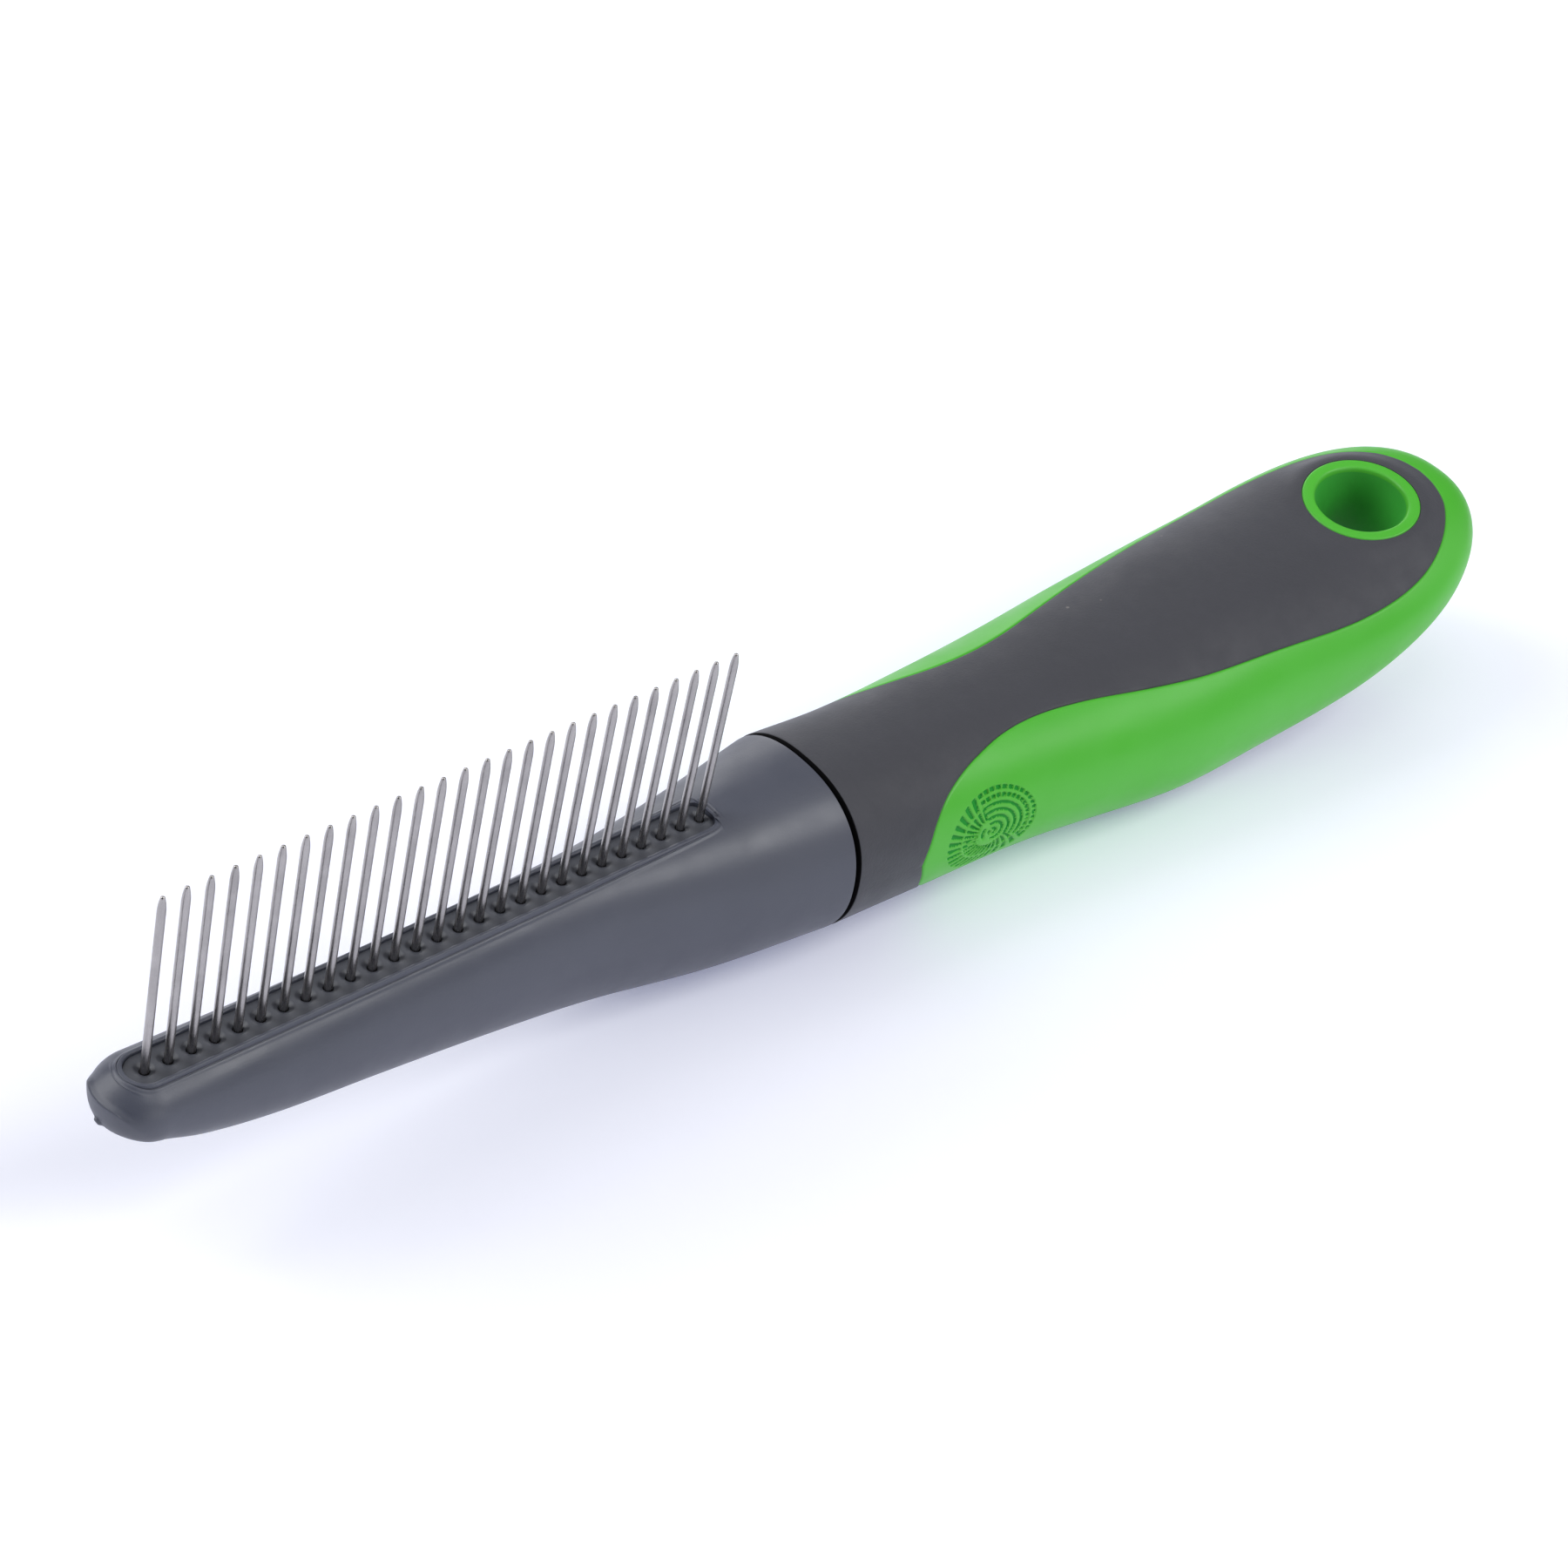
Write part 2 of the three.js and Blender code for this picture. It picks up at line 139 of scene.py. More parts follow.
RING_TOP = 8.3
RING_LOW_X, RING_LOW_Z = 179.4, -12.6
RING_LOW_TILT = math.radians(23)
RING_PROUD = 0.1  # how far the ring's rims stand out of the handle
HOLE_REACH = 20  # how far the cutter of the grip's hole goes both ways
RIM_REACH, RIM_SPREAD = 0.1, 2.2  # how far round the ring the handle keeps to its rims, then fades
BORE_SHADE_RADIUS, BORE_SHADE_TOP = 5.75, 7.8  # the ring is painted a darker green, as shade in the bore, inside this radius and below this height
CHANNEL_HALF_WIDTH = 2.1
CHANNEL_DEPTH = 5.8
CHANNEL_FADE = 0.8  # the channel gets shallow where the opening's half width is less
RAIL_HALF_WIDTH = 2.03
RAIL_END_GAP = 0.1
RAIL_EDGE, RAIL_DEPTH = 0.1, 4.4  # depths of the rail's first band of side faces and of its underside
# The bed round a pin, as radius and height: its socket's floor and wall, then the dish up to its brim.
DISH = [
    (0.0, -1.9),
    (0.5, -1.9),
    (0.52, -1.2),
    (0.53, -0.38),
    (0.56, -0.31),
    (0.63, -0.27),
    (0.73, -0.21),
    (0.85, -0.135),
    (0.97, -0.065),
    (1.07, -0.02),
    (1.15, 0),
]
WALL_OUT = np.array([0, 1, 1, 1, 1.0])  # the channel's floor and wall: shares of its half width and depth
WALL_DOWN = np.array([1, 1, 0.5, 0.12, 0.04])
LIP_WIDTH = 0.5
LIP_HEIGHT = 0.35
GROOVE_AWAY, GROOVE_WIDTH, GROOVE_DEPTH = 0.56, 0.045, 0.07  # fine groove beyond the lip
STEP_START, STEP_END, STEP_HEIGHT = (0.5, 0.6), (0.98, 0.72), 0.09  # low step round them
BELLY_Z = (FLOOR_Z - FIRST_PIN.z) / MM
SLIT_START, SLIT_END = ROW_END - 0.9, ROW_END + 1.0  # the blunt end of the bed's opening
SLIT_POWER = 3.2
WELD = 0.001  # size of the cells in which a slab's points are one
THUMB_X, THUMB_Z = 105.5, -9.0
THUMB_LENGTH, THUMB_HEIGHT = 6.7, 5.4  # half axes
THUMB_RINGS = 7
THUMB_DEPTH = 0.2
THUMB_DASHES, THUMB_STROKES = 42, 31  # in a full turn
THUMB_ROW, THUMB_LEAN = 2.35, 0.55  # rings that a row of strokes spans, and how far the strokes lean
BROW_Z, BROW_FALL, BROW_POWER = 0.28, 0.34, 1.3  # height at the lip, and how it falls from there
CREASE_RADIUS, CREASE_Z = 5.12, -1.42
NOSE_RADIUS, FACE_Z, CHIN_Z = 5.3, -1.6, -7.29
CHIN_RISE = 0.32  # slope of the underside towards the chin
NOSE_SWELL, NOSE_SWELL_RADIUS = 0.07, 4.8
NOSE_BLEND = 72, 22  # degrees from the front where the nose's own section starts and takes over
NUB_Z, NUB_HEIGHT = -4.4, 0.3
NUB_FOOT, NUB_TOP = 0.62, 0.3  # radii
NUB_INSIDE = 3  # the nub stays on the nose's face, outside this radius
PIN_RADIUS = 0.45
PIN_TAPER, PIN_END = 2.1, 0.2  # length of the tip, and of the round end on it
PIN_NARROWING, PIN_NARROWING_POWER = 0.46, 2.1  # share of the radius that the tip loses, and how
PIN_HEAD_RADIUS, PIN_HEAD_LOW, PIN_HEAD_HIGH = 0.95, -4.3, -3.5
PIN_SIDES, RAIL_SIDES, RING_SIDES = 32, 64, 128
HANDLE_ROWS = 300
HALVINGS = 40  # of the search for the rail's rounded end
TINY = 1e-9
NOISE_RANGE = 0.3, 0.7  # values that smooth noise mostly stays between
PAPER_NEAR, PAPER_FAR = 0.5, 0.95  # metres; beyond the lights the paper glows more, so that it stays pale


LIGHTS = [  # name, place in metres, diameter in metres, watts
    ("overhead", (0.0, 0.05, 0.85), 0.9, 2.15),
    ("left_softbox", (-0.4, 0.44, 0.67), 0.45, 1.95),
    ("right_softbox", (0.35, -0.45, 0.69), 0.5, 4.0),
    ("back", (-0.6, 0.6, 0.4), 0.6, 3.9),
    ("far_back", (0.45, 0.75, 0.3), 0.6, 2.0),
    ("front", (0.0, -0.9, 0.28), 0.7, 2.0),
    ("right", (0.8, -0.35, 0.3), 0.6, 0.65),
]


# ---- small mesh tools ----
def place(points):
    """Comb millimetres to frame metres."""
    return np.asarray(points, float) * MM + np.array(FIRST_PIN)


def between(stations, x):
    """Values between the stations at each x, on the smooth curve that the CAD source uses."""
    table = np.array(stations, float)
    keys, rows = table[:, 0], table[:, 1:]
    shape = np.shape(x)
    x = np.ravel(np.asarray(x, float))
    i = np.clip(np.searchsorted(keys, x) - 1, 0, len(keys) - 2)
    before = np.maximum(i - 1, 0)
    after = np.minimum(i + 2, len(keys) - 1)
    span = (keys[i + 1] - keys[i])[:, None]
    t = np.clip((x - keys[i])[:, None] / span, 0, 1)
    a, b = rows[i], rows[i + 1]
    start = (b - rows[before]) / (keys[i + 1] - keys[before])[:, None]
    end = (rows[after] - a) / (keys[after] - keys[i])[:, None]
    rise = (b - a) * (3 * t**2 - 2 * t**3)
    bend = (t * (1 - t) ** 2 * start + t**2 * (t - 1) * end) * span
    return (a + rise + bend).T.reshape(-1, *shape)


def bulge(v, power=SECTION_POWER):
    return np.sign(v) * np.abs(v) ** (2 / power)


def smooth(edge0, edge1, v):
    t = np.clip((v - edge0) / (edge1 - edge0), 0, 1)
    return t * t * (3 - 2 * t)


def section_power(x, rise):
    """Power of the cross-section's superellipse, which is rounder in the lower half of the waist."""
    share = smooth(WAIST_START, WAIST_FULL, x) * smooth(WAIST_END, WAIST_FADE, x)
    return SECTION_POWER - np.where(rise < 0, WAIST_ROUND * share, 0)


def grid_faces(rows, columns, wrap=False, first=0):
    r, c = np.arange(rows - 1)[:, None], np.arange(columns if wrap else columns - 1)[None]
    a = first + r * columns + c
    b = first + r * columns + (c + 1) % columns
    return np.stack([a, b, b + columns, a + columns], -1).reshape(-1, 4)


def slab(sheets, depth):
    """Points, faces and the share of relief in each face of a closed slab. Each sheet is a grid of surface
    points with its normals, how far each point falls below the surface, and its relief."""
    surface = np.concatenate([sheet[0].reshape(-1, 3) for sheet in sheets])
    normal = np.concatenate([sheet[1].reshape(-1, 3) for sheet in sheets])
    fall = np.concatenate([sheet[2].ravel() for sheet in sheets])
    relief = np.concatenate([sheet[3].ravel() for sheet in sheets])
    quads, first = [], 0
    for grid, *_ in sheets:
        quads.append(grid_faces(*grid.shape[:2], first=first)[:, ::-1])
        first += grid.shape[0] * grid.shape[1]
    keys = np.round(surface / WELD).astype(np.int64)
    _, where, index = np.unique(keys, axis=0, return_index=True, return_inverse=True)
    index = index.ravel()
    quads = index[np.concatenate(quads)]
    surface, normal, fall, relief = surface[where], normal[where], fall[where], relief[where]
    count = len(surface)
    faces = [list(dict.fromkeys(q)) for q in quads.tolist()]
    faces = [face for face in faces if len(face) > 2]
    edges = dict.fromkeys(edge for face in faces for edge in zip(face, face[1:] + face[:1]))
    rim = [(a, b) for a, b in edges if (b, a) not in edges]
    share = [float(np.mean(relief[face])) for face in faces]
    inner = [[i + count for i in face[::-1]] for face in faces]
    walls = [[b, a, a + count, b + count] for a, b in rim]
    points = np.concatenate([surface - normal * fall[:, None], surface - normal * depth])
    return points, faces + inner + walls, share


def point_tree(curve):
    tree = kdtree.KDTree(len(curve))
    for k, p in enumerate(curve):
        tree.insert(p, k)
    tree.balance()
    return tree


def distances(tree, points):
    return np.array([tree.find(p)[2] for p in points])


def new_mesh(name, points, faces, material, smooth_angle=None, weld=2e-6):
    """An object in the frame's metres from comb millimetres, with doubled corners welded."""
    mesh = bpy.data.meshes.new(name)
    mesh.from_pydata(place(points).tolist(), [], [list(map(int, f)) for f in faces])
    obj = bpy.data.objects.new(name, mesh)
    bpy.context.scene.collection.objects.link(obj)
    obj.data.materials.append(material)
    if weld:
        tidy(obj, weld)
    if smooth_angle is not None:
        shade(obj, smooth_angle)
    return obj


def tidy(obj, weld):
    bm = bmesh.new()
    bm.from_mesh(obj.data)
    bmesh.ops.remove_doubles(bm, verts=bm.verts, dist=weld)
    bmesh.ops.dissolve_degenerate(bm, dist=weld / 4, edges=bm.edges)
    bmesh.ops.recalc_face_normals(bm, faces=bm.faces)
    bm.to_mesh(obj.data)
    bm.free()


def shade(obj, angle):
    """Smooth shading, with the edges sharper than an angle in degrees left sharp."""
    obj.data.shade_smooth()
    for other in bpy.context.selected_objects:
        other.select_set(False)
    bpy.context.view_layer.objects.active = obj
    obj.select_set(True)
    bpy.ops.object.shade_smooth_by_angle(angle=math.radians(angle))


def cut(obj, cutter):
    modifier = obj.modifiers.new("cut", "BOOLEAN")
    modifier.operation = "DIFFERENCE"
    modifier.solver = "EXACT"
    modifier.object = cutter
    graph = bpy.context.evaluated_depsgraph_get()
    obj.data = bpy.data.meshes.new_from_object(obj.evaluated_get(graph))
    obj.modifiers.clear()
    bpy.data.objects.remove(cutter)


def turned(profile, sides):
    """Points and faces of a profile of (radius, height) turned about the z axis."""
    profile = np.array(profile, float)
    angles = np.linspace(0, 2 * math.pi, sides, endpoint=False)
    r, h = profile[:, 0][:, None], profile[:, 1][:, None] + 0 * angles[None]
    x, y = r * np.cos(angles)[None], r * np.sin(angles)[None]
    points = np.stack([x, y, h], -1).reshape(-1, 3)
    return points, grid_faces(len(profile), sides, wrap=True)


# ---- materials ----
def node_material(name):
    material = bpy.data.materials.new(name)
    material.use_nodes = True
    tree = material.node_tree
    shader = tree.nodes["Principled BSDF"]
    return material, tree, shader


def add(tree, kind, **values):
    made = tree.nodes.new(kind)
    for key, value in values.items():
        if key in made.inputs:
            made.inputs[key].default_value = value
        else:
            setattr(made, key, value)
    return made


def noise(tree, coordinates, scale, detail=4, roughness=0.55):
    made = add(tree, "ShaderNodeTexNoise", Scale=scale, Detail=detail, Roughness=roughness)
    tree.links.new(coordinates, made.inputs["Vector"])
    return made.outputs["Fac"]


def ramp(tree, value, low, high, colour_low, colour_high):
    made = tree.nodes.new("ShaderNodeMapRange")
    made.inputs["From Min"].default_value = low
    made.inputs["From Max"].default_value = high
    tree.links.new(value, made.inputs["Value"])
    mix = tree.nodes.new("ShaderNodeMix")
    mix.data_type = "RGBA"
    mix.inputs["A"].default_value = (*colour_low, 1)
    mix.inputs["B"].default_value = (*colour_high, 1)
    tree.links.new(made.outputs["Result"], mix.inputs["Factor"])
    return mix.outputs["Result"]


def numbers(tree, value, low, high, out_low, out_high):
    made = tree.nodes.new("ShaderNodeMapRange")
    for key, v in (("From Min", low), ("From Max", high), ("To Min", out_low), ("To Max", out_high)):
        made.inputs[key].default_value = v
    tree.links.new(value, made.inputs["Value"])
    return made.outputs["Result"]


def bump(tree, shader, layers):
    """Stacks (height, distance in metres) layers of bump on the shader."""
    normal = None
    for height, distance in layers:
        made = add(tree, "ShaderNodeBump", Strength=1.0, Distance=distance)
        tree.links.new(height, made.inputs["Height"])
        if normal is not None:
            tree.links.new(normal, made.inputs["Normal"])
        normal = made.outputs["Normal"]
    tree.links.new(normal, shader.inputs["Normal"])


def moulded_plastic(name, colour, roughness, grain, mottling=0.05, specular=0.5):
    """Satin moulded plastic: fine spark-eroded grain, slow colour drift and patches of other gloss."""
    material, tree, shader = node_material(name)
    where = tree.nodes.new("ShaderNodeTexCoord").outputs["Object"]
    drift = noise(tree, where, 55, 3)
    dark = tuple(c * (1 - mottling) for c in colour)
    light = tuple(c * (1 + mottling) for c in colour)
    tree.links.new(ramp(tree, drift, *NOISE_RANGE, dark, light), shader.inputs["Base Color"])
    wear = noise(tree, where, 190, 5, 0.6)
    gloss = numbers(tree, wear, *NOISE_RANGE, roughness - 0.05, roughness + 0.06)
    tree.links.new(gloss, shader.inputs["Roughness"])
    shader.inputs["Specular IOR Level"].default_value = specular
    fine = noise(tree, where, 4200, 2, 0.5)
    wavy = noise(tree, where, 240, 2, 0.5)
    bump(tree, shader, [(wavy, 0.00003), (fine, grain)])
    return material


def soft_touch(name, colour):
    """Matte overmoulded rubber: fine leathery grain, a faint sheen and a few specks of lint."""
    material, tree, shader = node_material(name)
    where = tree.nodes.new("ShaderNodeTexCoord").outputs["Object"]
    drift = noise(tree, where, 40, 4)
    dark = tuple(c * 0.93 for c in colour)
    light = tuple(c * 1.07 for c in colour)
    base = ramp(tree, drift, *NOISE_RANGE, dark, light)
    specks = add(tree, "ShaderNodeTexVoronoi", Scale=330.0)
    tree.links.new(where, specks.inputs["Vector"])
    lint = numbers(tree, specks.outputs["Distance"], 0.05, 0.085, 1, 0)
    pick = numbers(tree, noise(tree, where, 110, 2), 0.6, 0.66, 0, 0.35)
    both = add(tree, "ShaderNodeMath", operation="MULTIPLY")
    tree.links.new(lint, both.inputs[0])
    tree.links.new(pick, both.inputs[1])
    mix = tree.nodes.new("ShaderNodeMix")
    mix.data_type = "RGBA"
    mix.inputs["B"].default_value = (0.34, 0.32, 0.29, 1)
    tree.links.new(both.outputs[0], mix.inputs["Factor"])
    tree.links.new(base, mix.inputs["A"])
    tree.links.new(mix.outputs["Result"], shader.inputs["Base Color"])
    gloss = numbers(tree, noise(tree, where, 260, 5, 0.6), *NOISE_RANGE, 0.58, 0.72)
    tree.links.new(gloss, shader.inputs["Roughness"])
    shader.inputs["Specular IOR Level"].default_value = 0.48
    shader.inputs["Sheen Weight"].default_value = 0.16
    shader.inputs["Sheen Roughness"].default_value = 0.45
    shader.inputs["Sheen Tint"].default_value = (0.86, 0.88, 1, 1)
    fine = noise(tree, where, 3000, 3, 0.6)
    wavy = noise(tree, where, 180, 2, 0.5)
    bump(tree, shader, [(wavy, 0.00004), (fine, 0.000035)])
    return material


def drawn_steel(name, colour, roughness):
    """Steel wire: satin, with drawing lines along its length and a slightly uneven tone."""
    material, tree, shader = node_material(name)
    where = tree.nodes.new("ShaderNodeTexCoord").outputs["Object"]
    stretch = add(tree, "ShaderNodeMapping")
    stretch.inputs["Scale"].default_value = (1, 1, 0.04)
    tree.links.new(where, stretch.inputs["Vector"])
    lines = noise(tree, stretch.outputs["Vector"], 9000, 3, 0.6)
    drift = noise(tree, where, 260, 3)
    dark = tuple(c * 0.86 for c in colour)
    light = tuple(min(1, c * 1.1) for c in colour)
    tree.links.new(ramp(tree, drift, *NOISE_RANGE, dark, light), shader.inputs["Base Color"])
    gloss = numbers(tree, lines, *NOISE_RANGE, roughness - 0.06, roughness + 0.08)
    tree.links.new(gloss, shader.inputs["Roughness"])
    shader.inputs["Metallic"].default_value = 1.0
    bump(tree, shader, [(lines, 0.000006)])
    return material


HEAD_PLASTIC = moulded_plastic("head_satin_plastic", (0.064, 0.070, 0.096), 0.41, 0.000012)
BED_PLASTIC = moulded_plastic("bed_satin_plastic", (0.052, 0.056, 0.070), 0.48, 0.000014)
GREEN_PLASTIC = moulded_plastic("green_satin_plastic", (0.075, 0.44, 0.036), 0.4, 0.000008, 0.03, 0.32)
# Darker green on the thumb grip's recesses: painted shade.
GREEN_RECESS_SHADE = moulded_plastic("green_recess_painted_shade", (0.007, 0.26, 0.022), 0.5, 0.000008, 0.03, 0.2)
# Darker green inside the ring's bore: painted shade.
GREEN_BORE_SHADE = moulded_plastic("green_bore_painted_shade", (0.045, 0.36, 0.045), 0.45, 0.000008, 0.03, 0.4)
GRIP_RUBBER = soft_touch("grip_rubber", (0.038, 0.039, 0.049))
# Near-black painted shade for the faces that line the seam's gap.
SEAM_PAINTED_SHADE = moulded_plastic("seam_painted_shade_plastic", (0.005, 0.005, 0.006), 0.7, 0.000012, 0.05, 0.12)
PIN_STEEL = drawn_steel("pin_steel", (0.385, 0.37, 0.37), 0.27)
STRIP_STEEL = drawn_steel("strip_steel", (0.5, 0.5, 0.5), 0.35)


# ---- the camera, the floor and the light ----
def make_camera():
    """Seen from the nose end, on the right-hand side and above, with the frame turned a little."""
    target = Vector((-0.0045, 0.0058, 0.01205))
    distance = 0.4226
    azimuth, elevation, roll = (math.radians(a) for a in (-50.8, 39.86, 13.68))
    flat = math.cos(elevation)
    back = Vector((math.sin(azimuth) * flat, -math.cos(azimuth) * flat, math.sin(elevation)))
    data = bpy.data.cameras.new("camera")
    data.lens = 88
    data.sensor_width = 36
    data.clip_start = 0.01
    camera = bpy.data.objects.new("camera", data)
    bpy.context.scene.collection.objects.link(camera)
    camera.location = target + back * distance
    turn = back.to_track_quat("Z", "Y") @ Matrix.Rotation(roll, 3, "Z").to_quaternion()
    camera.rotation_mode = "QUATERNION"
    camera.rotation_quaternion = turn
    bpy.context.scene.camera = camera


def area_light(name, location, size, power):
    """A round softbox that faces the comb."""
    data = bpy.data.lights.new(name, "AREA")
    data.shape = "DISK"
    data.size = size
    data.energy = power
    light = bpy.data.objects.new(name, data)
    bpy.context.scene.collection.objects.link(light)
    light.location = location
    light.rotation_euler = (-Vector(location)).to_track_quat("-Z", "Y").to_euler()


def make_stage():
    mesh = bpy.data.meshes.new("floor")
    half = 6.0
    corners = [(x, y, FLOOR_Z) for x, y in ((-half, -half), (half, -half), (half, half), (-half, half))]
    mesh.from_pydata(corners, [], [(0, 1, 2, 3)])
    floor = bpy.data.objects.new("floor", mesh)
    bpy.context.scene.collection.objects.link(floor)
    material, tree, shader = node_material("paper")
    shader.inputs["Base Color"].default_value = (0.9, 0.905, 0.925, 1)
    shader.inputs["Roughness"].default_value = 0.8
    shader.inputs["Specular IOR Level"].default_value = 0.1
    away = add(tree, "ShaderNodeVectorMath", operation="LENGTH")
    tree.links.new(tree.nodes.new("ShaderNodeTexCoord").outputs["Object"], away.inputs[0])
    away = away.outputs["Value"]
    glow = ramp(tree, away, PAPER_NEAR, PAPER_FAR, (0.57, 0.62, 1), (1, 1, 1))
    tree.links.new(glow, shader.inputs["Emission Color"])
    strength = numbers(tree, away, PAPER_NEAR, PAPER_FAR, 0.235, 0.95)
    tree.links.new(strength, shader.inputs["Emission Strength"])
    mesh.materials.append(material)
    world = bpy.data.worlds.new("studio")
    world.use_nodes = True
    sky = world.node_tree.nodes["Background"]
    sky.inputs["Color"].default_value = (1, 1, 1, 1)
    sky.inputs["Strength"].default_value = 0.02
    bpy.context.scene.world = world
    for light in LIGHTS:
        area_light(*light)
    bpy.context.scene.view_settings.view_transform = "Standard"


# ---- the head ----
def slit_half_width(x):
    """Half width of the bed's opening: straight along the row, then a blunt end with round corners."""
    t = np.clip((np.asarray(x, float) - SLIT_START) / (SLIT_END - SLIT_START), 0, 1)
    return CHANNEL_HALF_WIDTH * (1 - t**SLIT_POWER) ** (1 / SLIT_POWER)


def slit_side():
    row = np.linspace(0, SLIT_START, 400)
    end = SLIT_END - (SLIT_END - SLIT_START) * np.linspace(1, 0, 160) ** 2
    x = np.concatenate([row, end])
    return np.stack([x, slit_half_width(x)], -1)


def lip(d):
    """Share of the lip's height at a distance outside the bed's opening."""
    t = np.clip(d / LIP_WIDTH, 0, 1)
    bead = np.sqrt(np.clip(1 - (2 * t - 1) ** 4, 0, 1))
    return np.where(d < LIP_WIDTH, bead, 0)


def lip_relief(d, surface):
    """Height that the lip, the fine groove beyond it and the low step round them add to the surface at a
    distance d."""
    step = STEP_HEIGHT * smooth(*STEP_START, d) * smooth(*STEP_END, d)
    groove = GROOVE_DEPTH * np.exp(-(((d - GROOVE_AWAY) / GROOVE_WIDTH) ** 2))
    return (LIP_HEIGHT - surface) * lip(d) + step - groove


def head_columns():
    """Offsets from the bed's opening for the columns of the lip, then shares of the way down the side."""
    bead = LIP_WIDTH * (1 - np.cos(np.linspace(0, math.pi, 12))) / 2
    beyond = [0.52, 0.54, 0.56, 0.58, 0.61, 0.65, 0.7, 0.76, 0.82, 0.88, 0.94, 1.02, 1.1]
    return np.concatenate([bead, beyond]), np.linspace(0, 1, 72)[1:]


def side_section(x, opening):
    """Half a cross-section of the head, from the middle of the channel's floor to the middle below."""
    half_width, half_height, centre = between(HEAD_STATIONS, x)
    offsets, down = head_columns()
    y_slit = float(slit_half_width(x))

    def surface(y):
        return centre + half_height * (1 - np.abs(y / half_width) ** SECTION_POWER) ** (1 / SECTION_POWER)

    y = y_slit + offsets
    z = surface(y)
    away = opening(np.stack([np.full_like(y, x), y], -1))
    z = z + lip_relief(away, z)
    first = math.asin((y[-1] / half_width) ** (SECTION_POWER / 2))
    angle = first + (math.pi - first) * down
    power = section_power(x, np.cos(angle))
    y2 = half_width * bulge(np.sin(angle), power)
    z2 = centre + half_height * bulge(np.cos(angle), power)
    deep = min(1, y_slit / CHANNEL_FADE) ** 0.5
    top = float(z[0])
    wall_z = top - (top + CHANNEL_DEPTH) * deep * WALL_DOWN
    wall_y = y_slit * WALL_OUT
    return np.stack([np.concatenate([wall_y, y, y2]), np.concatenate([wall_z, z, z2])], -1)


def front_section():
    """The same down the front of the nose: a sloping brow, a soft crease and a steep front face."""
    offsets, down = head_columns()
    brow = BROW_Z - BROW_FALL * np.maximum(offsets - LIP_WIDTH, 0) ** BROW_POWER
    z = brow + lip_relief(offsets, brow)
    turn = np.radians([0, 15, 30, 45, 60, 75, 90])
    chin = 2 / SECTION_POWER
    upper = [(3.1, 0.11), (3.78, -0.42), (4.38, -0.96), (4.68, -1.2), (CREASE_RADIUS, CREASE_Z)]
    lower = zip(NOSE_RADIUS * np.cos(turn) ** chin, FACE_Z + (CHIN_Z - FACE_Z) * np.sin(turn) ** chin)
    stops = [0, 0.1, 0.22, 0.3, 0.36, 0.44, 0.533, 0.627, 0.72, 0.813, 0.907, 1]
    face = [(stop, *point) for stop, point in zip(stops, upper + list(lower))]
    r2, z2 = between(face, down)
    wall_z = z[0] - (z[0] + CHANNEL_DEPTH) * WALL_DOWN
    wall_r = CHANNEL_HALF_WIDTH * WALL_OUT
    r = np.concatenate([wall_r, CHANNEL_HALF_WIDTH + offsets, r2])
    return np.stack([r, np.concatenate([wall_z, z, z2])], -1)


def spigot_rows(section):
    """Rear face of the head, the step that floors the seam and the spigot that holds it in the handle, as
    rows behind the first section."""
    half_width, half_height, centre = between(HEAD_STATIONS, SEAM_X)
    angle = np.arctan2(section[:, 0] / half_width, (section[:, 1] - centre) / half_height)
    ring = np.stack([np.sin(angle), np.cos(angle)], -1) * SPIGOT_RADIUS + [0, NECK_Z]
    step = centre_scaled(section, SEAM_FLOOR, centre)
    x0, x1 = SEAM_X - SEAM_HALF_GAP, SEAM_X + SEAM_HALF_GAP - FLOOR_CLEARANCE
    stops = [(SPIGOT_END, ring * 0 + [0, NECK_Z]), (SPIGOT_END, ring), (x1, ring), (x1, step), (x0, step)]
    return [np.column_stack([np.full(len(section), x), yz]) for x, yz in stops]


def centre_scaled(section, share, centre):
    return (section - [0, centre]) * share + [0, centre]


def nose_rows(side):
    """Half sections about the first pin's axis, from one side of the head round the front to the other.
    They change from the side's section to the front's and back."""
    front = front_section()
    spread = NOSE_SWELL * smooth(CHANNEL_HALF_WIDTH, NOSE_SWELL_RADIUS, side[:, 0])
    rows = []
    for turn in np.linspace(90, -90, 97)[1:-1]:
        a = math.radians(turn)
        share = float(smooth(*NOSE_BLEND, abs(turn)))
        swell = 1 + math.cos(a) ** 2 * spread
        r = (1 - share) * side[:, 0] * swell + share * front[:, 0]
        z = (1 - share) * side[:, 1] + share * front[:, 1]
        row = np.column_stack([-r * math.cos(a), r * math.sin(a), z])
        away = np.where(r < NUB_INSIDE, NUB_FOOT, np.hypot(row[:, 1], row[:, 2] - NUB_Z))
        row[:, 2] -= CHIN_RISE * row[:, 0] * smooth(NUB_Z, CHIN_Z, row[:, 2])
        row[:, 0] -= NUB_HEIGHT * smooth(NUB_FOOT, NUB_TOP, away)
        rows.append(row)
    return rows


